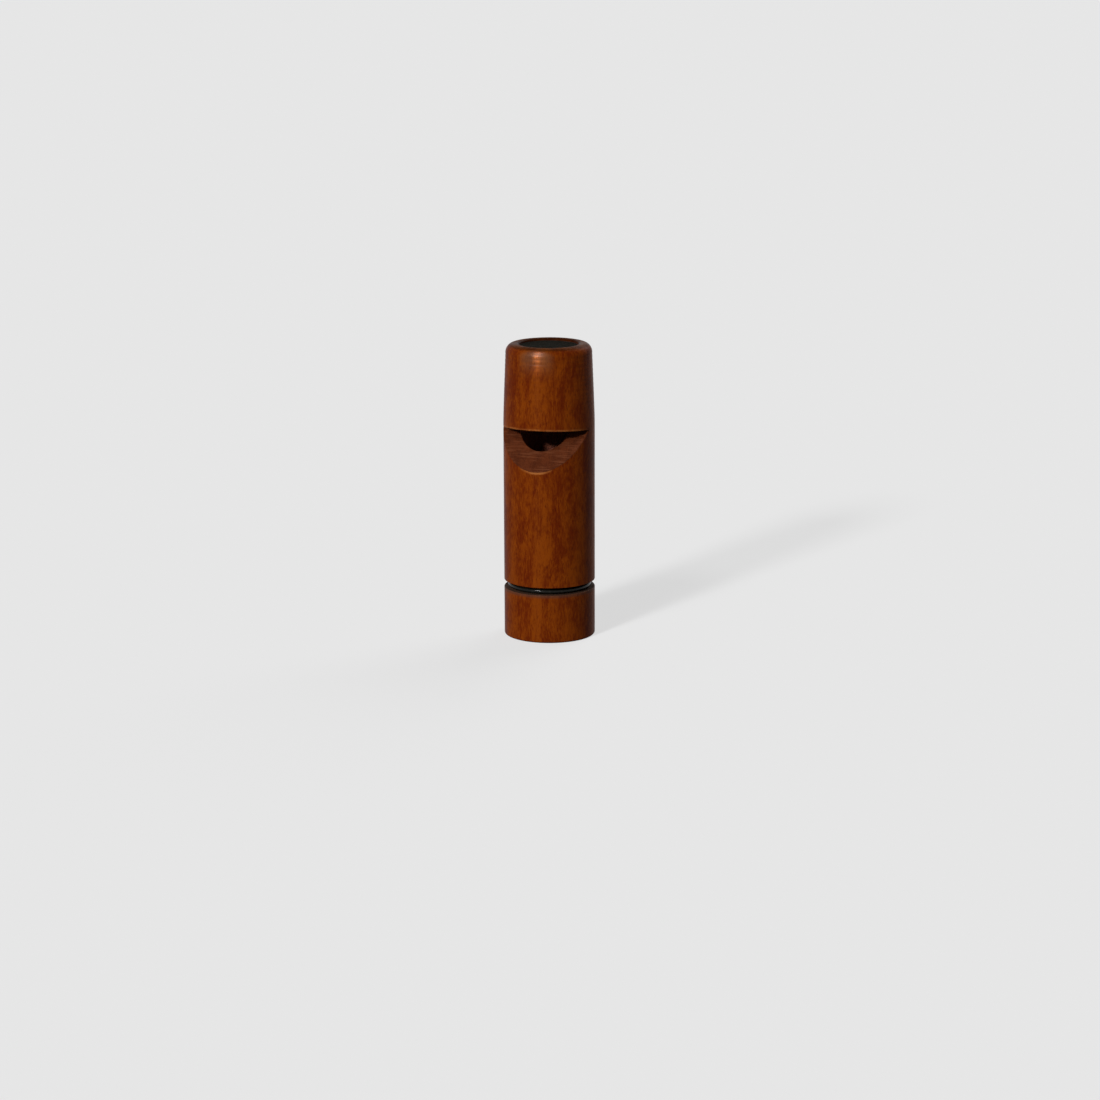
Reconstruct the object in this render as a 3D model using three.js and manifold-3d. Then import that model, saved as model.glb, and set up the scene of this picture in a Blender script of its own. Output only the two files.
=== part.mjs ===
// A wooden whistle game call: a turned barrel with a blind bore and a cut window,
// a fipple plug in its mouth end, and a rubber ring in its lanyard groove.
// Millimetres, +Z up. The origin is the centre of the foot, the mouth is at the top
// and the window faces -Y.

import * as THREE from "three";
import { mergeVertices } from "three/addons/utils/BufferGeometryUtils.js";
import Module from "manifold-3d";

// Barrel
const totalLength = 72;
const boreDiameter = 14.3;
const wallThickness = 3.95;
const endWall = 8; // wood left under the blind bore
const footRound = 0.5;

// Mouth end: a long gentle taper, a rounded shoulder, a flat rim and a rounded lip
const taperLength = 24;
const taperInset = 0.6;
const taperStraight = 6; // the taper leaves the straight barrel over this length
const shoulderHeight = 2.2;
const rimWidth = 0.95;
const lipRound = 0.5;

// Window: a nearly square upper face, and a flat ramp whose edge at the bore is the sounding edge
const mouthToWindow = 20.5; // rim down to the window's upper face, on the axis
const windowGap = 4.8; // upper face on the axis down to the sounding edge
const upperFaceTilt = 4.4; // degrees, higher towards the outside
const rampAngle = 47.6; // degrees, measured from level

// Lanyard groove and its ring
const footToGroove = 11.95;
const grooveWidth = 1.75;
const wallUnderGroove = 1.75;
const grooveEdgeRound = 0.15;
const ringClearance = 0.1; // under the ring and inside it
const ringPlay = 0.45; // free width above the ring

// Fipple plug
const plugClearance = 0.1;
const plugRecess = 0.5; // below the rim
const windwayHeight = 1.3;
const plugChamfer = 0.3;

// Fineness of the curves
const turnSteps = 72;
const taperSteps = 7;
const shoulderSteps = 6;
const edgeSteps = 3;
const ringSteps = 12;
const weldDistance = 1e-5; // points nearer than this are one point

const boreRadius = boreDiameter / 2;
const bodyRadius = boreRadius + wallThickness;
const mouthRadius = bodyRadius - taperInset;
const lipRadius = boreRadius + lipRound;
const rimRadius = lipRadius + rimWidth;
const grooveRadius = boreRadius + wallUnderGroove;
const grooveTop = footToGroove + grooveWidth;
const windowTop = totalLength - mouthToWindow;
const soundingEdge = windowTop - windowGap;

const wasm = await Module();
wasm.setup();

const wood = new THREE.MeshStandardMaterial({ color: 0x6f3516, roughness: 0.35, metalness: 0 });
const blackPlastic = new THREE.MeshStandardMaterial({ color: 0x1c1b19, roughness: 0.45, metalness: 0 });
const blackRubber = new THREE.MeshStandardMaterial({ color: 0x141413, roughness: 0.5, metalness: 0 });

// Points on a quarter or other arc, from one angle to another in degrees, with its own two radii.
function arc(centreR, centreZ, radiusR, radiusZ, from, to, steps) {
  const points = [];
  for (let i = 0; i <= steps; i += 1) {
    const angle = THREE.MathUtils.degToRad(from + ((to - from) * i) / steps);
    points.push(
      new THREE.Vector2(centreR + radiusR * Math.cos(angle), centreZ + radiusZ * Math.sin(angle)),
    );
  }
  return points;
}

// A profile of radius and height, turned round the Z axis.
function turned(profile) {
  return new THREE.LatheGeometry(profile, turnSteps).rotateX(Math.PI / 2);
}

// An outline of Y and Z, extruded along X to the same width on both sides.
function extrudedAcross(outline, halfWidth) {
  const shape = new THREE.Shape(outline);
  const solid = new THREE.ExtrudeGeometry(shape, { depth: 2 * halfWidth, bevelEnabled: false });
  const toPart = new THREE.Matrix4().makeBasis(
    new THREE.Vector3(0, 1, 0),
    new THREE.Vector3(0, 0, 1),
    new THREE.Vector3(1, 0, 0),
  );
  return solid.translate(0, 0, -halfWidth).applyMatrix4(toPart);
}

function toSolid(geometry) {
  const bare = geometry.clone();
  bare.deleteAttribute("normal");
  bare.deleteAttribute("uv");
  const merged = mergeVertices(bare, weldDistance);
  return new wasm.Manifold(
    new wasm.Mesh({
      numProp: 3,
      vertProperties: new Float32Array(merged.attributes.position.array),
      triVerts: new Uint32Array(merged.index.array),
    }),
  );
}

function toGeometry(solid) {
  const mesh = solid.getMesh();
  const geometry = new THREE.BufferGeometry();
  geometry.setAttribute("position", new THREE.BufferAttribute(mesh.vertProperties, 3));
  geometry.setIndex(new THREE.BufferAttribute(mesh.triVerts, 1));
  geometry.computeVertexNormals();
  return geometry;
}

function cut(geometry, cutter) {
  return toGeometry(toSolid(geometry).subtract(toSolid(cutter)));
}

function named(name, geometry, material) {
  const mesh = new THREE.Mesh(geometry, material);
  mesh.name = name;
  return mesh;
}

// The barrel's profile: up the outside from the foot, over the rim and down the bore.
function barrelProfile() {
  const taper = new THREE.QuadraticBezierCurve(
    new THREE.Vector2(bodyRadius, totalLength - taperLength),
    new THREE.Vector2(bodyRadius, totalLength - taperLength + taperStraight),
    new THREE.Vector2(mouthRadius, totalLength - shoulderHeight),
  );
  return [
    new THREE.Vector2(0, 0),
    ...arc(bodyRadius - footRound, footRound, footRound, footRound, -90, 0, edgeSteps),
    ...arc(
      bodyRadius - grooveEdgeRound,
      footToGroove - grooveEdgeRound,
      grooveEdgeRound,
      grooveEdgeRound,
      0,
      90,
      edgeSteps,
    ),
    new THREE.Vector2(grooveRadius, footToGroove),
    new THREE.Vector2(grooveRadius, grooveTop),
    ...arc(
      bodyRadius - grooveEdgeRound,
      grooveTop + grooveEdgeRound,
      grooveEdgeRound,
      grooveEdgeRound,
      -90,
      0,
      edgeSteps,
    ),
    ...taper.getPoints(taperSteps).slice(0, -1),
    ...arc(
      rimRadius,
      totalLength - shoulderHeight,
      mouthRadius - rimRadius,
      shoulderHeight,
      0,
      90,
      shoulderSteps,
    ),
    ...arc(lipRadius, totalLength - lipRound, lipRound, lipRound, 90, 180, edgeSteps),
    new THREE.Vector2(boreRadius, endWall),
    new THREE.Vector2(0, endWall),
  ];
}

// The window's cutter: a wedge between the upper face and the ramp, open to the outside.
function windowCutter() {
  const tilt = Math.tan(THREE.MathUtils.degToRad(upperFaceTilt));
  const slope = Math.tan(THREE.MathUtils.degToRad(rampAngle));
  const upperFaceAt = (radius) => windowTop + radius * tilt;
  const rampAt = (radius) => soundingEdge + (boreRadius - radius) * slope;
  const innerRadius = (soundingEdge + boreRadius * slope - windowTop) / (slope + tilt);
  const outerRadius = bodyRadius + wallThickness;
  return extrudedAcross(
    [
      new THREE.Vector2(-innerRadius, upperFaceAt(innerRadius)),
      new THREE.Vector2(-outerRadius, upperFaceAt(outerRadius)),
      new THREE.Vector2(-outerRadius, rampAt(outerRadius)),
    ],
    outerRadius,
  );
}

function barrel() {
  return named("barrel", cut(turned(barrelProfile()), windowCutter()), wood);
}

// The plug fills the bore from the window's upper face to just under the rim.
// Its flat leaves the windway under the window's side of the bore.
function fipplePlug() {
  const radius = boreRadius - plugClearance;
  const bottom = windowTop;
  const top = totalLength - plugRecess;
  const round = turned([
    new THREE.Vector2(0, bottom),
    new THREE.Vector2(radius - plugChamfer, bottom),
    new THREE.Vector2(radius, bottom + plugChamfer),
    new THREE.Vector2(radius, top - plugChamfer),
    new THREE.Vector2(radius - plugChamfer, top),
    new THREE.Vector2(0, top),
  ]);
  const flat = boreRadius - windwayHeight;
  const windway = new THREE.BoxGeometry(boreDiameter, boreRadius, 2 * mouthToWindow);
  windway.translate(0, -flat - boreRadius / 2, totalLength - mouthToWindow / 2);
  return named("fipple_plug", cut(round, windway), blackPlastic);
}

// The ring rests on the groove's lower side.
function grooveRing() {
  const section = (grooveWidth - ringClearance - ringPlay) / 2;
  const profile = arc(
    grooveRadius + ringClearance + section,
    footToGroove + ringClearance + section,
    section,
    section,
    0,
    360,
    ringSteps,
  );
  return named("groove_ring", turned(profile), blackRubber);
}

const call = new THREE.Group();
call.add(barrel(), fipplePlug(), grooveRing());

export default call;
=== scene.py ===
# The looks of a turned wooden whistle call: its barrel, fipple plug and groove ring, in metres.
# The mouth is up and the sounding window faces -Y, as in the frame.

import math
import random

import bpy
from mathutils import Matrix, Vector


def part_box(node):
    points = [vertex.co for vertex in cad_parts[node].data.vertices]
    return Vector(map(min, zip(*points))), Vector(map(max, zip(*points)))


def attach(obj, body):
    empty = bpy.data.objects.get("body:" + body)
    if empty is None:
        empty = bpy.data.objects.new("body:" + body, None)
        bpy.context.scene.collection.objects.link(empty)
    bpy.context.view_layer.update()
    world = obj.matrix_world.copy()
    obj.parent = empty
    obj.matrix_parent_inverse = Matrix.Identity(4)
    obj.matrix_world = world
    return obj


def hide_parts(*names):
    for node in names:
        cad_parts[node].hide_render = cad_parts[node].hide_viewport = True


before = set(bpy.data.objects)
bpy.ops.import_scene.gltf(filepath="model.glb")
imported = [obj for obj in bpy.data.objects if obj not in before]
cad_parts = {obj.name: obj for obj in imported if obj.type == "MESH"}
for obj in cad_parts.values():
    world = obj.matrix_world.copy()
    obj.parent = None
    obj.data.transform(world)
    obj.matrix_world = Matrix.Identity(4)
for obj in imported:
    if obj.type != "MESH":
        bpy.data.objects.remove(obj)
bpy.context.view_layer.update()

MM = 0.001

# Sizes read from the frame
barrel_low, barrel_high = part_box("barrel")
plug_low, plug_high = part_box("fipple_plug")
ring_low, ring_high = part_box("groove_ring")
BODY_RADIUS = barrel_high.x
MOUTH = barrel_high.z
PLUG_RADIUS = plug_high.x
PLUG_FLAT = -plug_low.y
WINDOW_TOP = plug_low.z

# Sizes of the call that the frame's boxes don't give
PLUG_CLEARANCE = 0.1 * MM
BORE_RADIUS = PLUG_RADIUS + PLUG_CLEARANCE
END_WALL = 8 * MM
FOOT_ROUND = 0.5 * MM
TAPER_START = MOUTH - 19.4 * MM
TAPER_BEND = MOUTH - 17 * MM
TAPER_INSET = 0.6 * MM
SHOULDER_HEIGHT = 2.2 * MM
RIM_WIDTH = 0.95 * MM
LIP_ROUND = 0.5 * MM
WINDOW_GAP = 4.8 * MM
UPPER_FACE_TILT = math.radians(4.4)
RAMP_ANGLE = math.radians(47.6)
RING_CLEARANCE = 0.1 * MM
GROOVE_LOW = ring_low.z - RING_CLEARANCE
GROOVE_WIDTH = 1.75 * MM
GROOVE_HIGH = GROOVE_LOW + GROOVE_WIDTH
WALL_UNDER_GROOVE = 1.75 * MM
GROOVE_RADIUS = BORE_RADIUS + WALL_UNDER_GROOVE
GROOVE_EDGE = 0.18 * MM
SOUNDING_EDGE = WINDOW_TOP - WINDOW_GAP

# The window's two planes, each as a point and a normal that points out of the wood
UPPER_POINT = Vector((0, 0, WINDOW_TOP))
UPPER_NORMAL = Vector((0, -math.sin(UPPER_FACE_TILT), -math.cos(UPPER_FACE_TILT)))
RAMP_POINT = Vector((0, -BORE_RADIUS, SOUNDING_EDGE))
RAMP_NORMAL = Vector((0, -math.sin(RAMP_ANGLE), math.cos(RAMP_ANGLE)))
RAMP_UPHILL = Vector((0, math.cos(RAMP_ANGLE), math.sin(RAMP_ANGLE)))

# The fine ridges that the turning tool leaves near the mouth
TURNING_PITCH = 1.15 * MM
TURNING_DEPTH = 0.05 * MM

# Fineness of the mesh. Rows of points beside the window's corners keep the faces short there.
TURN_SEGMENTS = 256
TAPER_STEPS = 90
WINDOW_ROW = 1.07 * MM
SMOOTH_ANGLE = math.radians(32)

# A point this near to a surface lies on it
TOUCHING = 0.002 * MM

# Rounds of the window's edges, at the outside and at the bore
OUTER_ROUND = 0.14 * MM
INNER_ROUND = 0.05 * MM

# Marks of the file across the ramp
MARK_COLUMNS = 30
MARK_SPACING = (0.2 * MM, 0.4 * MM)
MARK_DEPTH = (0.012 * MM, 0.03 * MM)
MARK_LEAN = 1.2  # degrees, to either side
MARK_MARGIN = 0.35 * MM
MARK_END = 2.4 * MM  # in front of the axis
MARK_SEED = 7


# Modelling helpers

def arc(radius, height, width, rise, start, end, steps):
    """Points on an arc about a radius and height, from one angle to another in degrees."""
    points = []
    for step in range(steps + 1):
        angle = math.radians(start + (end - start) * step / steps)
        points.append((radius + width * math.cos(angle), height + rise * math.sin(angle)))
    return points


def begin():
    """Leaves nothing selected, so that an operator acts only on what is made next."""
    bpy.ops.object.select_all(action="DESELECT")


def pick(piece):
    """Selects just this piece."""
    begin()
    piece.select_set(True)
    bpy.context.view_layer.objects.active = piece


def settle(piece, name):
    """Names a new primitive and puts its place in its mesh."""
    piece.name = name
    piece.data.name = name
    bpy.ops.object.transform_apply(location=True, rotation=True, scale=True)
    return piece


def edit(piece):
    pick(piece)
    bpy.ops.object.mode_set(mode="EDIT")


def done():
    bpy.ops.object.mode_set(mode="OBJECT")


def choose(piece, faces=None, edges=None, points=None):
    """In edit mode, selects just the faces, edges or points that the test accepts."""
    bpy.ops.mesh.select_all(action="DESELECT")
    bpy.ops.mesh.select_mode(type="FACE" if faces else "EDGE" if edges else "VERT")
    done()
    mesh = piece.data
    if faces:
        for face in mesh.polygons:
            face.select = faces(face)
    elif edges:
        for edge in mesh.edges:
            edge.select = edges(*(mesh.vertices[v].co for v in edge.vertices))
    else:
        for vertex in mesh.vertices:
            vertex.select = points(vertex.co)
    bpy.ops.object.mode_set(mode="EDIT")


def turn(name, profile, segments):
    """A turned solid: a round face drawn up and in through the profile's radii and heights."""
    begin()
    radius, height = profile[0]
    bpy.ops.mesh.primitive_circle_add(
        vertices=segments, radius=radius, fill_type="NGON", location=(0, 0, height)
    )
    piece = settle(bpy.context.object, name)
    edit(piece)
    bpy.ops.mesh.select_all(action="SELECT")
    for (radius, height), (next_radius, next_height) in zip(profile, profile[1:]):
        bpy.ops.mesh.extrude_region_move(
            TRANSFORM_OT_translate={"value": (0, 0, next_height - height)}
        )
        ratio = next_radius / radius
        bpy.ops.transform.resize(value=(ratio, ratio, 1), center_override=(0, 0, next_height))
    bpy.ops.mesh.select_all(action="SELECT")
    bpy.ops.mesh.normals_make_consistent(inside=False)
    done()
    return piece


def apply(piece, kind, **settings):
    """Adds a modifier with its settings and applies it."""
    pick(piece)
    bpy.ops.object.modifier_add(type=kind)
    modifier = piece.modifiers[-1]
    for name, value in settings.items():
        setattr(modifier, name, value)
    bpy.ops.object.modifier_apply(modifier=modifier.name)


def smooth(piece):
    """Smooth shading with crisp edges, weighted so that broad faces stay true."""
    pick(piece)
    bpy.ops.object.shade_smooth_by_angle(angle=SMOOTH_ANGLE)
    apply(piece, "WEIGHTED_NORMAL", keep_sharp=True)


def place(piece, cad_node):
    """Hides the frame's node that the piece stands for, and attaches the piece to the root body."""
    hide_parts(cad_node)
    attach(piece, "root")


# Barrel

def taper_points(shoulder):
    """From the straight body up to the shoulder, with ridges that grow towards the mouth."""
    points = []
    for step in range(TAPER_STEPS):
        along = step / TAPER_STEPS
        height = (
            (1 - along) ** 2 * TAPER_START + 2 * along * (1 - along) * TAPER_BEND + along ** 2 * shoulder
        )
        ridge = 0.5 - 0.5 * math.cos(math.tau * height / TURNING_PITCH)
        inset = (TAPER_INSET + TURNING_DEPTH * ridge) * along ** 2
        points.append((BODY_RADIUS - inset, height))
    return points


def barrel_profile():
    """Up the outside from the foot, over the rim and down the bore."""
    mouth_radius = BODY_RADIUS - TAPER_INSET
    lip_radius = BORE_RADIUS + LIP_ROUND
    rim_radius = lip_radius + RIM_WIDTH
    shoulder = MOUTH - SHOULDER_HEIGHT
    foot_radius = BODY_RADIUS - FOOT_ROUND
    edge = GROOVE_EDGE
    outer_edge = BODY_RADIUS - edge
    inner_edge = GROOVE_RADIUS + edge
    beside_window = [(BODY_RADIUS, SOUNDING_EDGE + row * WINDOW_ROW) for row in (2, 3, 4)]
    return [
        *arc(foot_radius, FOOT_ROUND, FOOT_ROUND, FOOT_ROUND, -90, 0, 6),
        *arc(outer_edge, GROOVE_LOW - edge, edge, edge, 0, 90, 4),
        *arc(inner_edge, GROOVE_LOW + edge, edge, edge, 270, 180, 3),
        *arc(inner_edge, GROOVE_HIGH - edge, edge, edge, 180, 90, 3),
        *arc(outer_edge, GROOVE_HIGH + edge, edge, edge, -90, 0, 4),
        *beside_window,
        *taper_points(shoulder),
        *arc(rim_radius, shoulder, mouth_radius - rim_radius, SHOULDER_HEIGHT, 0, 90, 12),
        *arc(lip_radius, MOUTH - LIP_ROUND, LIP_ROUND, LIP_ROUND, 90, 180, 6),
        (BORE_RADIUS, END_WALL),
    ]


def window_wedge():
    """The wood that the window's saw cut and ramp take away: a block cut by the two planes."""
    begin()
    reach = 2 * BODY_RADIUS
    bpy.ops.mesh.primitive_cube_add(size=1, location=(0, -BODY_RADIUS, SOUNDING_EDGE))
    bpy.context.object.scale = (1.5 * reach, reach, reach)
    wedge = settle(bpy.context.object, "window_wedge")
    edit(wedge)
    for point, normal in ((UPPER_POINT, UPPER_NORMAL), (RAMP_POINT, RAMP_NORMAL)):
        bpy.ops.mesh.select_all(action="SELECT")
        bpy.ops.mesh.bisect(plane_co=point, plane_no=normal, use_fill=True, clear_inner=True)
    bpy.ops.mesh.select_all(action="SELECT")
    bpy.ops.mesh.normals_make_consistent(inside=False)
    done()
    return wedge


def on_plane(co, point, normal, within=TOUCHING):
    return abs((co - point).dot(normal)) < within


def radius_of(co):
    return math.hypot(co.x, co.y)


LACQUERED, FILED, BORED = range(3)


def cut_window(barrel):
    wedge = window_wedge()
    apply(barrel, "BOOLEAN", object=wedge, operation="DIFFERENCE", solver="EXACT")
    bpy.data.objects.remove(wedge)


def finish_faces(barrel, lacquered, filed, bored):
    """Lacquer outside, filed wood on the window's two faces and bored wood inside."""
    for material in (lacquered, filed, bored):
        barrel.data.materials.append(material)
    for face in barrel.data.polygons:
        middle = face.center
        in_bore = radius_of(middle) < BORE_RADIUS + 0.01 * MM
        if in_bore and END_WALL / 2 < middle.z < MOUTH - LIP_ROUND:
            face.material_index = BORED
        if on_plane(middle, UPPER_POINT, UPPER_NORMAL) or on_plane(middle, RAMP_POINT, RAMP_NORMAL):
            if face.normal.dot(UPPER_NORMAL) > 0.999 or face.normal.dot(RAMP_NORMAL) > 0.999:
                face.material_index = FILED


def soften_window(barrel):
    """Rounds the window's outer edges, and eases the sharp edge that meets the bore."""
    def window_edge(a, b, least, most):
        for point, normal in ((UPPER_POINT, UPPER_NORMAL), (RAMP_POINT, RAMP_NORMAL)):
            if on_plane(a, point, normal) and on_plane(b, point, normal):
                return all(least < radius_of(co) < most for co in (a, b))
        return False

    outer = BODY_RADIUS - 0.2 * MM
    inner = BORE_RADIUS + 0.05 * MM
    for least, most, width, segments, finish in (
        (outer, 2 * BODY_RADIUS, OUTER_ROUND, 3, LACQUERED),
        (0, inner, INNER_ROUND, 2, FILED),
    ):
        edit(barrel)
        choose(barrel, edges=lambda a, b: window_edge(a, b, least, most))
        bpy.ops.mesh.bevel(
            offset=width, segments=segments, profile=0.5, clamp_overlap=False, material=finish
        )
        done()
    for face in barrel.data.polygons:
        off_ramp = abs((face.center - RAMP_POINT).dot(RAMP_NORMAL))
        on_round = off_ramp < OUTER_ROUND - 0.01 * MM and radius_of(face.center) > outer
        if on_round and face.normal.dot(RAMP_NORMAL) > 0.5:
            face.material_index = FILED


def cut_tool_marks(barrel):
    """Crosses the ramp with a fine grid, and presses some inner rows of it in as file marks."""
    rng = random.Random(MARK_SEED)
    innermost = BORE_RADIUS + MARK_MARGIN
    outermost = BODY_RADIUS - MARK_MARGIN
    highest = (SOUNDING_EDGE + WINDOW_TOP) / 2 + BORE_RADIUS / 2

    def on_ramp(face):
        return face.material_index == FILED and face.normal.dot(RAMP_NORMAL) > 0.98

    def cut(point, normal):
        choose(barrel, faces=on_ramp)
        bpy.ops.mesh.bisect(plane_co=point, plane_no=normal)

    def in_row(co, point, normal):
        inside = innermost < radius_of(co) < outermost and co.z < highest
        near_ramp = on_plane(co, RAMP_POINT, RAMP_NORMAL, within=0.05 * MM)
        return inside and near_ramp and on_plane(co, point, normal, within=0.0005 * MM)

    edit(barrel)
    for column in range(1, MARK_COLUMNS):
        cut(Vector(((2 * column / MARK_COLUMNS - 1) * BODY_RADIUS, 0, 0)), Vector((1, 0, 0)))
    rows = []
    along = -(BODY_RADIUS - BORE_RADIUS) / math.cos(RAMP_ANGLE) + MARK_MARGIN
    ramp_top = (BORE_RADIUS - MARK_END) / math.cos(RAMP_ANGLE)
    while along < ramp_top:
        lean = Matrix.Rotation(math.radians(rng.uniform(-MARK_LEAN, MARK_LEAN)), 3, RAMP_NORMAL)
        rows.append((RAMP_POINT + RAMP_UPHILL * along, lean @ RAMP_UPHILL))
        cut(*rows[-1])
        along += rng.uniform(*MARK_SPACING)
    for point, normal in rows[1::2]:
        choose(barrel, points=lambda co: in_row(co, point, normal))
        bpy.ops.transform.translate(value=-RAMP_NORMAL * rng.uniform(*MARK_DEPTH))
    done()


def keep_round(barrel, turned):
    """Gives the outside round the window the shading that it had before the cut."""
    group = barrel.vertex_groups.new(name="outside")
    outside = [
        vertex.index for vertex in barrel.data.vertices
        if radius_of(vertex.co) > BODY_RADIUS - TOUCHING and GROOVE_HIGH + MM < vertex.co.z < TAPER_START
    ]
    group.add(outside, 1, "REPLACE")
    apply(
        barrel, "DATA_TRANSFER", object=turned, use_loop_data=True, data_types_loops={"CUSTOM_NORMAL"},
        loop_mapping="POLYINTERP_NEAREST", vertex_group=group.name,
    )
    barrel.vertex_groups.clear()
    bpy.data.objects.remove(turned)


def make_barrel():
    barrel = turn("turned_barrel", barrel_profile(), TURN_SEGMENTS)
    turned = barrel.copy()
    turned.data = barrel.data.copy()
    bpy.context.scene.collection.objects.link(turned)
    smooth(turned)
    cut_window(barrel)
    finish_faces(barrel, lacquered_wood(), filed_wood(), bored_wood())
    soften_window(barrel)
    cut_tool_marks(barrel)
    smooth(barrel)
    keep_round(barrel, turned)
    place(barrel, "barrel")


# Fipple plug

PLUG_EDGE = 0.3 * MM
LEAD_IN = 0.53 * MM
FACING_MARGIN = 0.2 * MM
FACING_RINGS = 9
FACING_DEPTH = 0.02 * MM
PLUG_SEGMENTS = 144

# The cut's usual threshold is coarser than the facing rings and would keep faces past the plane
CUT_THRESHOLD = 0.0001 * MM


def plug_profile():
    """Up the outside, then in over the end face with its shallow facing rings."""
    radius = PLUG_RADIUS - PLUG_EDGE
    profile = [
        *arc(radius, plug_low.z + PLUG_EDGE, PLUG_EDGE, PLUG_EDGE, -90, 0, 4),
        *arc(radius, plug_high.z - PLUG_EDGE, PLUG_EDGE, PLUG_EDGE, 0, 90, 4),
    ]
    faced_radius = PLUG_FLAT - LEAD_IN - FACING_MARGIN
    for ring in range(FACING_RINGS):
        depth = FACING_DEPTH if ring % 2 else 0
        profile.append((faced_radius * (1 - ring / FACING_RINGS), plug_high.z - depth))
    return profile


def make_plug():
    """A turned rod with the windway's flat, and a sloped lead-in at the flat's upper end."""
    plug = turn("windway_plug", plug_profile(), PLUG_SEGMENTS)
    edit(plug)
    slope = Vector((0, -1, 1)).normalized()
    for point, normal in (
        (Vector((0, -PLUG_FLAT, 0)), Vector((0, -1, 0))),
        (Vector((0, -PLUG_FLAT, plug_high.z - LEAD_IN)), slope),
    ):
        bpy.ops.mesh.select_all(action="SELECT")
        bpy.ops.mesh.bisect(
            plane_co=point, plane_no=normal, use_fill=True, clear_outer=True, threshold=CUT_THRESHOLD
        )
    done()
    smooth(plug)
    plug.data.materials.append(plug_plastic())
    place(plug, "fipple_plug")


# Groove ring

RING_SEGMENTS = 192
RING_SECTION_SEGMENTS = 24
MOULD_LINE_WIDTH = 0.05 * MM
MOULD_LINE_HEIGHT = 0.02 * MM


def make_ring():
    """A round ring with a fine mould line round its outside."""
    section = (ring_high.z - ring_low.z) / 2
    height = (ring_high.z + ring_low.z) / 2
    middle = ring_high.x - section
    outermost = middle + 0.999 * section

    def mould_line(a, b):
        return min(radius_of(a), radius_of(b)) > outermost

    begin()
    bpy.ops.mesh.primitive_torus_add(
        major_segments=RING_SEGMENTS, minor_segments=RING_SECTION_SEGMENTS,
        major_radius=middle, minor_radius=section, location=(0, 0, height),
    )
    ring = settle(bpy.context.object, "rubber_ring")
    edit(ring)
    choose(ring, edges=mould_line)
    bpy.ops.mesh.bevel(offset=MOULD_LINE_WIDTH, segments=2, profile=0.5)
    choose(ring, edges=mould_line)
    swell = 1 + MOULD_LINE_HEIGHT / ring_high.x
    bpy.ops.transform.resize(value=(swell, swell, 1), center_override=(0, 0, height))
    done()
    smooth(ring)
    ring.data.materials.append(ring_rubber())
    place(ring, "groove_ring")


# Node helpers

FLOAT, VECTOR, COLOUR = "NodeSocketFloat", "NodeSocketVector", "NodeSocketColor"


def node(tree, kind, inputs=None, **settings):
    """A new node with its settings, and each named input linked or set."""
    made = tree.nodes.new(kind)
    for name, value in settings.items():
        setattr(made, name, value)
    for name, value in (inputs or {}).items():
        if isinstance(value, bpy.types.NodeSocket):
            tree.links.new(value, made.inputs[name])
        else:
            made.inputs[name].default_value = value
    return made


def vector_maths(tree, operation, first, second=(0, 0, 0)):
    return node(tree, "ShaderNodeVectorMath", {0: first, 1: second}, operation=operation).outputs


def scaled(tree, vector, scale):
    return vector_maths(tree, "MULTIPLY", vector, scale)[0]


def part_of(tree, vector, axis):
    return node(tree, "ShaderNodeSeparateXYZ", {0: vector}).outputs[axis]


def noise(tree, vector, scale=(1, 1, 1), detail=2.0, roughness=0.5):
    vector = scaled(tree, vector, scale)
    values = {"Vector": vector, "Scale": 1.0, "Detail": detail, "Roughness": roughness}
    return node(tree, "ShaderNodeTexNoise", values).outputs[0]


def cells(tree, vector, scale):
    values = {"Vector": scaled(tree, vector, scale), "Scale": 1.0}
    return node(tree, "ShaderNodeTexVoronoi", values).outputs["Distance"]


def maths(tree, operation, first, second=0.0):
    return node(tree, "ShaderNodeMath", {0: first, 1: second}, operation=operation).outputs[0]


def times(tree, *values):
    """The product of values, each a socket or a number."""
    product = values[0]
    for value in values[1:]:
        product = maths(tree, "MULTIPLY", product, value)
    return product


def blend_of(tree, *parts):
    """The sum of pairs of a value and its share."""
    total = 0.0
    for value, share in parts:
        total = maths(tree, "ADD", times(tree, value, share), total)
    return total


def inverse(tree, mask):
    return maths(tree, "SUBTRACT", 1.0, mask)


def between(tree, value, low, high, to_low=0.0, to_high=1.0):
    """A smooth step: value from low to high becomes to_low to to_high."""
    names = {"Value": value, "From Min": low, "From Max": high, "To Min": to_low, "To Max": to_high}
    return node(tree, "ShaderNodeMapRange", names, interpolation_type="SMOOTHSTEP").outputs[0]


def mixed(tree, factor, first, second):
    return node(tree, "ShaderNodeMix", {0: factor, 6: first, 7: second}, data_type="RGBA").outputs[2]


def distance_from_axis(tree, position):
    return vector_maths(tree, "LENGTH", scaled(tree, position, (1, 1, 0)))["Value"]


def new_group(name, inputs, outputs):
    tree = bpy.data.node_groups.new(name, "ShaderNodeTree")
    for socket, kind in inputs:
        tree.interface.new_socket(name=socket, in_out="INPUT", socket_type=kind)
    for socket, kind in outputs:
        tree.interface.new_socket(name=socket, in_out="OUTPUT", socket_type=kind)
    return tree, tree.nodes.new("NodeGroupInput").outputs, tree.nodes.new("NodeGroupOutput").inputs


# Effects that several materials share. Each takes a position in millimetres.

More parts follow.
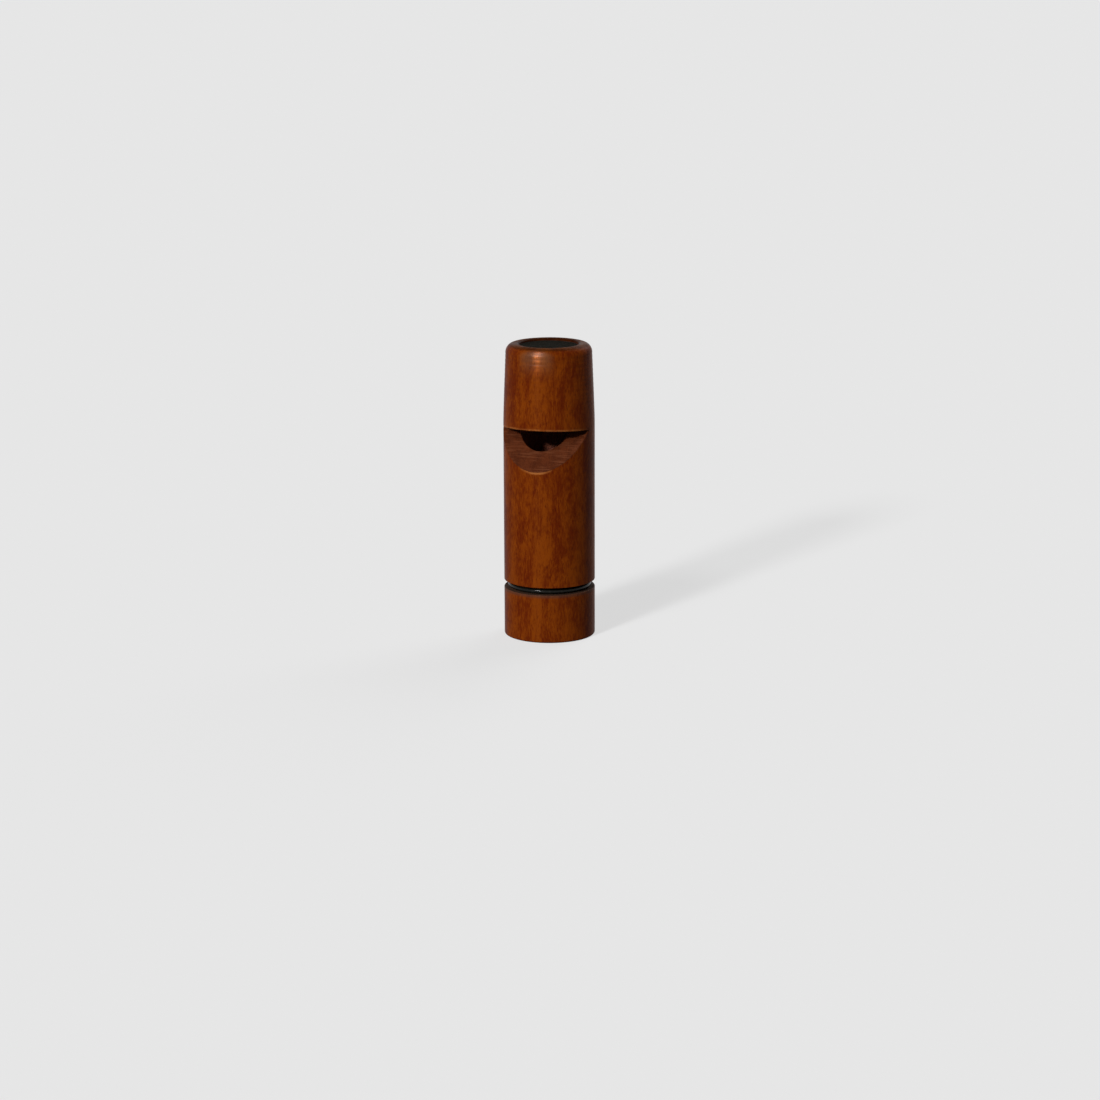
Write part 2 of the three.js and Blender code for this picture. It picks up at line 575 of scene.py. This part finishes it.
def grain_effect():
    """Open-pored hardwood with its grain along Z."""
    tree, given, made = new_group(
        "hardwood_grain",
        [("Position", VECTOR), ("Dark", COLOUR), ("Light", COLOUR), ("Pore", COLOUR)],
        [("Color", COLOUR), ("Pores", FLOAT), ("Fibres", FLOAT)],
    )
    position = given["Position"]
    waves = {"Vector": scaled(tree, position, (0.07, 0.07, 0.035)), "Scale": 1.0}
    waves = node(tree, "ShaderNodeTexNoise", waves).outputs["Color"]
    shift = scaled(tree, vector_maths(tree, "SUBTRACT", waves, (0.5, 0.5, 0.5))[0], (5, 5, 0))
    position = vector_maths(tree, "ADD", position, shift)[0]

    ribbon = noise(tree, position, (0.3, 0.3, 0.03))
    clouds = noise(tree, position, (0.35, 0.35, 0.14))
    mottle = noise(tree, position, (1.3, 1.3, 0.45), 3.0, 0.6)
    fibres = noise(tree, position, (7, 7, 0.4), 3.0, 0.6)
    flecks = noise(tree, position, (3.2, 3.2, 0.8), 2.0, 0.6)
    tone = blend_of(tree, *((layer, 0.2) for layer in (ribbon, clouds, mottle, fibres, flecks)))
    colour = mixed(tree, between(tree, tone, 0.42, 0.58), given["Dark"], given["Light"])

    crowding = between(tree, noise(tree, position, (0.45, 0.45, 0.12)), 0.38, 0.62, 0.25, 1.0)
    long_pores = between(tree, cells(tree, position, (2.6, 2.6, 0.4)), 0.1, 0.24, 1.0, 0.0)
    fine_pores = between(tree, cells(tree, position, (5.0, 5.0, 0.8)), 0.12, 0.26, 1.0, 0.0)
    pores = maths(tree, "MAXIMUM", times(tree, long_pores, crowding), times(tree, fine_pores, 0.7))
    tree.links.new(mixed(tree, times(tree, pores, 0.6), colour, given["Pore"]), made["Color"])
    tree.links.new(pores, made["Pores"])
    tree.links.new(fibres, made["Fibres"])
    return tree


def handling_effect():
    """Soft smudges and fine hair scratches, each as a mask."""
    tree, given, made = new_group(
        "handling_marks", [("Position", VECTOR)], [("Smudges", FLOAT), ("Scratches", FLOAT)]
    )
    smudges = between(tree, noise(tree, given["Position"], (0.35, 0.35, 0.2), 4.0), 0.4, 0.7)
    masks = []
    for lean in (0.9, -0.5):
        values = {"Vector": given["Position"], "Rotation": (0.4, lean, 0.9), "Scale": (6, 0.16, 0.5)}
        hairs = noise(tree, node(tree, "ShaderNodeMapping", values).outputs[0])
        masks.append(between(tree, hairs, 0.69, 0.74))
    tree.links.new(smudges, made["Smudges"])
    tree.links.new(maths(tree, "MAXIMUM", *masks), made["Scratches"])
    return tree


GRAIN = grain_effect()
HANDLING = handling_effect()


# Materials

# Colours are red, green and blue in linear light. A wood has a dark, a light and a pore tone.
LACQUERED_TONES = (0.092, 0.0105, 0.0008, 1), (0.178, 0.035, 0.0016, 1), (0.024, 0.0035, 0.0008, 1)
FILED_TONES = (0.045, 0.0085, 0.0022, 1), (0.081, 0.0175, 0.0048, 1), (0.019, 0.004, 0.0013, 1)
BORED_TONES = (0.13, 0.034, 0.017, 1), (0.24, 0.072, 0.038, 1), (0.05, 0.014, 0.007, 1)
END_GRAIN = (0.018, 0.004, 0.001, 1)
# Lighter colour for rubbed edges, and a painted highlight along the ramp's front edge
WORN_AND_HIGHLIT_EDGE = (0.3, 0.1, 0.024, 1)
# Darker colour in the lanyard groove
GROOVE_DARKENING = (0.009, 0.003, 0.0012, 1)
# Painted highlight on the groove's lower edge
GROOVE_LIP_HIGHLIGHT = (0.055, 0.03, 0.02, 1)
# Painted shade in and round the mouth of the bore
BORE_MOUTH_SHADE = (0.012, 0.0028, 0.0008, 1)
# Painted sheen near the mouth on the window's side
PAINTED_SHEEN_TONE = (0.18, 0.085, 0.03, 1)
BRIGHT_STROKE = (0.12, 0.037, 0.0155, 1)
PLASTIC = (0.0055, 0.0055, 0.0042, 1)
PLASTIC_DUST = (0.014, 0.0122, 0.009, 1)
PLASTIC_SCRATCH = (0.04, 0.037, 0.032, 1)
RUBBER = (0.005, 0.0048, 0.0036, 1)
RUBBER_BLOOM = (0.013, 0.012, 0.009, 1)

# Places in millimetres, as the materials measure them
RIM = MOUTH / MM
BORE_WALL = BORE_RADIUS / MM
OUTSIDE = BODY_RADIUS / MM
GROOVE_FOOT = GROOVE_LOW / MM
GROOVE_TOP = GROOVE_HIGH / MM
FACING_TURNS = 26.0  # radians of the facing rings' wave in each millimetre


def new_material(name):
    """An empty material: its nodes, its shader, and the place on the object in millimetres."""
    material = bpy.data.materials.new(name)
    material.use_nodes = True
    tree = material.node_tree
    position = scaled(tree, node(tree, "ShaderNodeTexCoord").outputs["Object"], (1000, 1000, 1000))
    return material, tree, tree.nodes["Principled BSDF"], position


def set_values(shader, **values):
    for name, value in values.items():
        shader.inputs[name.replace("_", " ")].default_value = value


def feed(tree, shader, **values):
    for name, value in values.items():
        tree.links.new(value, shader.inputs[name.replace("_", " ")])


def bumped(tree, height, depth, strength):
    values = {"Height": height, "Distance": depth, "Strength": strength}
    return node(tree, "ShaderNodeBump", values).outputs[0]


def use_grain(tree, position, dark, light, pore):
    values = {"Position": position, "Dark": dark, "Light": light, "Pore": pore}
    return node(tree, "ShaderNodeGroup", values, node_tree=GRAIN).outputs


def use_handling(tree, position):
    return node(tree, "ShaderNodeGroup", {"Position": position}, node_tree=HANDLING).outputs


def near_plane(tree, position, point, normal, width):
    """1 on a plane of the window, fading to 0 at width millimetres from it."""
    along = vector_maths(tree, "DOT_PRODUCT", position, normal)["Value"]
    distance = maths(tree, "ABSOLUTE", maths(tree, "SUBTRACT", along, point.dot(normal) / MM))
    return between(tree, distance, 0.3 * width, width, 1.0, 0.0)


def worn_and_highlit_edges(tree, position, height, fibres):
    """Where fingers and lips have rubbed the colour thin: the window's outer edges and the rim. Towards
    the front of the ramp's outer edge the lightening grows into a painted highlight.
    """
    depth = part_of(tree, position, "Y")
    upper = near_plane(tree, position, UPPER_POINT, UPPER_NORMAL, 0.65)
    # Stronger towards the front of the ramp's outer edge: a painted highlight
    ramp = times(
        tree, near_plane(tree, position, RAMP_POINT, RAMP_NORMAL, 0.55),
        between(tree, depth, 0.1 - OUTSIDE, 0.9 - OUTSIDE, 2.4, 0.0),
    )
    front = between(tree, depth, -4.0, -2.4, 1.0, 0.0)
    window = times(tree, maths(tree, "MAXIMUM", upper, ramp), front)
    rim = between(tree, height, RIM - 0.5, RIM - 0.05, 0.0, 0.25)
    patches = between(tree, noise(tree, position, (0.4, 0.4, 0.4), 3.0), 0.36, 0.6, 0.3, 0.9)
    streaks = between(tree, fibres, 0.3, 0.6, 0.6, 1.0)
    return times(tree, maths(tree, "MAXIMUM", window, rim), patches, streaks)


def groove_mask(tree, position, height):
    """1 on the floor and sides of the lanyard groove."""
    radius = distance_from_axis(tree, position)
    inside = between(tree, radius, OUTSIDE - 0.3, OUTSIDE, 1.0, 0.0)
    below = maths(tree, "LESS_THAN", height, GROOVE_TOP + 0.2)
    above = maths(tree, "GREATER_THAN", height, GROOVE_FOOT - 0.2)
    return times(tree, inside, below, above)


def bore_lip_shade_mask(tree, position, height):
    """1 on the lip round the mouth of the bore, where shade is painted as a dark colour."""
    radius = distance_from_axis(tree, position)
    near_bore = between(tree, radius, BORE_WALL + 0.2, BORE_WALL + 0.9, 1.0, 0.0)
    return times(tree, near_bore, maths(tree, "GREATER_THAN", height, RIM - 2))


def groove_lip_highlight_mask(tree, height):
    """1 just under the lanyard groove, where a painted highlight lightens its lower edge."""
    near_groove = between(tree, height, GROOVE_FOOT - 1.0, GROOVE_FOOT - 0.2)
    return times(tree, near_groove, maths(tree, "LESS_THAN", height, GROOVE_FOOT + 0.1))


def lacquered_wood():
    """The stained outside. Towards the mouth on the window's side it has a painted sheen: a lighter
    colour, with a metallic gleam and more coat.
    """
    material, tree, shader, position = new_material("lacquered_mahogany")
    wood = use_grain(tree, position, *LACQUERED_TONES)
    marks = use_handling(tree, position)
    height = part_of(tree, position, "Z")
    facing_up = part_of(tree, node(tree, "ShaderNodeTexCoord").outputs["Normal"], "Z")
    end_grain = between(tree, maths(tree, "ABSOLUTE", facing_up), 0.6, 0.92)
    worn_and_highlit = worn_and_highlit_edges(tree, position, height, wood["Fibres"])
    groove = groove_mask(tree, position, height)
    bore_lip_shade = bore_lip_shade_mask(tree, position, height)
    near_mouth = between(tree, height, RIM - 10, RIM - 1)
    front = between(tree, part_of(tree, position, "Y"), 0.7 - OUTSIDE, 1.9 - OUTSIDE, 1.0, 0.0)
    # Where the painted sheen, metallic gleam and thicker coat go
    sheen_patch = times(tree, near_mouth, near_mouth, front)

    colour = wood["Color"]
    for mask, share, tint in (
        (end_grain, 0.85, END_GRAIN),
        (worn_and_highlit, 0.8, WORN_AND_HIGHLIT_EDGE),
        (groove, 0.9, GROOVE_DARKENING),
        (groove_lip_highlight_mask(tree, height), 0.6, GROOVE_LIP_HIGHLIGHT),
        (bore_lip_shade, 0.85, BORE_MOUTH_SHADE),
        (sheen_patch, 0.35, PAINTED_SHEEN_TONE),
    ):
        colour = mixed(tree, times(tree, mask, share), colour, tint)

    rings = noise(tree, position, (0.004, 0.004, 0.9), 1.0, 0.6)
    surface = blend_of(tree, (wood["Fibres"], 0.25), (rings, 0.55), (wood["Pores"], -0.6))
    rough = blend_of(tree, (marks["Smudges"], 0.1), (wood["Pores"], 0.15), (groove, 0.3), (1.0, 0.34))
    gleam = between(tree, rings, 0.42, 0.56, 0.3, 0.65)
    feed(
        tree, shader,
        Base_Color=colour,
        Roughness=rough,
        Metallic=times(tree, sheen_patch, gleam, inverse(tree, end_grain)),
        Coat_Weight=times(
            tree, between(tree, sheen_patch, 0.0, 1.0, 0.06, 0.34),
            between(tree, end_grain, 0.0, 1.0, 1.0, 0.05),
            between(tree, maths(tree, "MAXIMUM", worn_and_highlit, groove), 0.0, 1.0, 1.0, 0.15),
            inverse(tree, bore_lip_shade),
        ),
        Normal=bumped(tree, surface, 0.02 * MM, 0.7),
        Coat_Normal=bumped(tree, times(tree, rings, near_mouth), 0.2 * MM, 1.0),
    )
    set_values(
        shader, IOR=1.05, Specular_Tint=(1.0, 0.6, 0.3, 1), Anisotropic=0.9, Anisotropic_Rotation=0.25,
        Coat_Roughness=0.3, Coat_IOR=1.45,
    )
    return material


def filed_wood():
    """The bare cut faces of the window, with marks left across them by the cutter."""
    material, tree, shader, position = new_material("filed_mahogany")
    wood = use_grain(tree, position, *FILED_TONES)
    strokes = noise(tree, position, (0.14, 2.2, 2.2), 4.0, 0.7)
    bright = times(tree, between(tree, strokes, 0.5, 0.64), 0.7)
    surface = blend_of(tree, (strokes, 1.0), (wood["Pores"], -0.8))
    feed(
        tree, shader,
        Base_Color=mixed(tree, bright, wood["Color"], BRIGHT_STROKE),
        Roughness=between(tree, strokes, 0.3, 0.7, 0.55, 0.8),
        Normal=bumped(tree, surface, 0.035 * MM, 0.8),
    )
    set_values(shader, IOR=1.2, Specular_Tint=(1.0, 0.6, 0.4, 1))
    return material


def bored_wood():
    """The raw bore with the drill's turns, darkened near the mouth by painted shade."""
    material, tree, shader, position = new_material("bored_mahogany")
    wood = use_grain(tree, position, *BORED_TONES)
    turns = noise(tree, position, (0.1, 0.1, 3))
    height = part_of(tree, position, "Z")
    # Painted shade just inside the mouth
    mouth_shade = between(tree, height, RIM - 1.6, RIM - 0.8, 0.0, 0.9)
    surface = blend_of(tree, (turns, 1.0), (wood["Pores"], -0.8))
    feed(
        tree, shader,
        Base_Color=mixed(tree, mouth_shade, wood["Color"], BORE_MOUTH_SHADE),
        Roughness=between(tree, turns, 0.3, 0.7, 0.6, 0.85),
        Normal=bumped(tree, surface, 0.04 * MM, 0.7),
    )
    set_values(shader, IOR=1.3)
    return material


def plug_plastic():
    """Black rod, faced off on the lathe."""
    material, tree, shader, position = new_material("black_machined_plastic")
    marks = use_handling(tree, position)
    facing_rings = maths(tree, "SINE", times(tree, distance_from_axis(tree, position), FACING_TURNS))
    dust = noise(tree, position, (1.4, 1.4, 1.4), 5.0, 0.65)
    colour = mixed(tree, between(tree, dust, 0.42, 0.75), PLASTIC, PLASTIC_DUST)
    colour = mixed(tree, times(tree, marks["Scratches"], 0.4), colour, PLASTIC_SCRATCH)
    surface = blend_of(tree, (facing_rings, 0.5), (marks["Scratches"], -1.0))
    feed(
        tree, shader,
        Base_Color=colour,
        Roughness=blend_of(tree, (marks["Smudges"], 0.12), (dust, 0.2), (1.0, 0.55)),
        Normal=bumped(tree, surface, 0.006 * MM, 0.7),
    )
    set_values(shader, IOR=1.03)
    return material


def ring_rubber():
    """Smooth rubber with a faint bloom."""
    material, tree, shader, position = new_material("black_ring_rubber")
    marks = use_handling(tree, position)
    bloom = noise(tree, position, (1.1, 1.1, 1.1), 4.0, 0.6)
    feed(
        tree, shader,
        Base_Color=mixed(tree, between(tree, bloom, 0.45, 0.75), RUBBER, RUBBER_BLOOM),
        Roughness=blend_of(tree, (bloom, 0.1), (marks["Scratches"], 0.1), (1.0, 0.15)),
        Normal=bumped(tree, noise(tree, position, (9, 9, 9)), 0.005 * MM, 0.5),
    )
    set_values(shader, IOR=1.24)
    return material


# Stage, light and camera

FLOOR_SIZE = 60
FLOOR_SHADE = 0.2
FLOOR_GLOW = 0.612
FILL_SHADE = 0.05
BACKDROP_SHADE = 0.78


def seen_directly(tree):
    """1 for rays from the camera, or off a mirror or through glass, which show the pale background."""
    rays = node(tree, "ShaderNodeLightPath").outputs
    seen = maths(tree, "MAXIMUM", rays["Is Camera Ray"], rays["Is Glossy Ray"])
    return maths(tree, "MAXIMUM", seen, rays["Is Transmission Ray"])


def make_stage():
    """A pale floor that keeps the shadow faint, and that isn't seen from below."""
    begin()
    bpy.ops.mesh.primitive_plane_add(size=FLOOR_SIZE)
    floor = bpy.context.object
    floor.name = "floor"
    material = bpy.data.materials.new("pale_floor")
    material.use_nodes = True
    tree = material.node_tree
    shader = tree.nodes["Principled BSDF"]
    from_below = node(tree, "ShaderNodeNewGeometry").outputs["Backfacing"]
    feed(
        tree, shader,
        Emission_Strength=times(tree, seen_directly(tree), FLOOR_GLOW),
        Alpha=inverse(tree, from_below),
    )
    set_values(
        shader, Base_Color=(FLOOR_SHADE, FLOOR_SHADE, FLOOR_SHADE, 1), Emission_Color=(1, 1, 1, 1),
        Roughness=0.9, Specular_IOR_Level=0.0,
    )
    floor.data.materials.append(material)


def make_world():
    world = bpy.data.worlds.new("pale_studio")
    bpy.context.scene.world = world
    world.use_nodes = True
    tree = world.node_tree
    fill, backdrop = ((shade, shade, shade, 1) for shade in (FILL_SHADE, BACKDROP_SHADE))
    colour = mixed(tree, seen_directly(tree), fill, backdrop)
    tree.links.new(colour, tree.nodes["Background"].inputs["Color"])


def make_sun(name, azimuth, elevation, strength, angle):
    """A soft lamp that shines from an azimuth, measured as the camera's is, and an elevation."""
    light = bpy.data.lights.new(name, "SUN")
    light.energy = strength
    light.angle = math.radians(angle)
    lamp = bpy.data.objects.new(name, light)
    bpy.context.scene.collection.objects.link(lamp)
    turn_to = Matrix.Rotation(math.radians(azimuth), 4, "Z")
    tip_to = Matrix.Rotation(math.radians(90 - elevation), 4, "X")
    lamp.matrix_world = turn_to @ tip_to


# Angles are in degrees and distances in metres.
CAMERA_AZIMUTH = 17.5
CAMERA_DISTANCE = 0.740
CAMERA_HEIGHT = 0.192
CAMERA_PITCH = 13.03
CAMERA_TURN = -0.0092
CAMERA_ROLL = -0.2
FOCAL_PIXELS = 3102
PHOTO_PIXELS = 1100
SENSOR_MM = 36


def make_camera():
    data = bpy.data.cameras.new("camera")
    data.sensor_width = SENSOR_MM
    data.lens = SENSOR_MM * FOCAL_PIXELS / PHOTO_PIXELS
    camera = bpy.data.objects.new("camera", data)
    bpy.context.scene.collection.objects.link(camera)
    azimuth = math.radians(CAMERA_AZIMUTH)
    across, back = math.sin(azimuth) * CAMERA_DISTANCE, -math.cos(azimuth) * CAMERA_DISTANCE
    place_at = Vector((across, back, CAMERA_HEIGHT))
    facing = Matrix.Rotation(math.radians(CAMERA_AZIMUTH + CAMERA_TURN), 4, "Z")
    facing @= Matrix.Rotation(math.radians(90 - CAMERA_PITCH), 4, "X")
    facing @= Matrix.Rotation(math.radians(CAMERA_ROLL), 4, "Z")
    camera.matrix_world = Matrix.Translation(place_at) @ facing
    bpy.context.scene.camera = camera


make_camera()
make_stage()
make_world()
make_sun("key_light", azimuth=CAMERA_AZIMUTH - 33, elevation=24, strength=2.8, angle=7)
make_sun("top_light", azimuth=CAMERA_AZIMUTH - 33, elevation=48, strength=0.9, angle=12)
make_sun("back_light", azimuth=CAMERA_AZIMUTH + 145, elevation=38, strength=1.4, angle=40)

make_barrel()
make_plug()
make_ring()

bpy.context.scene.view_settings.view_transform = "Standard"
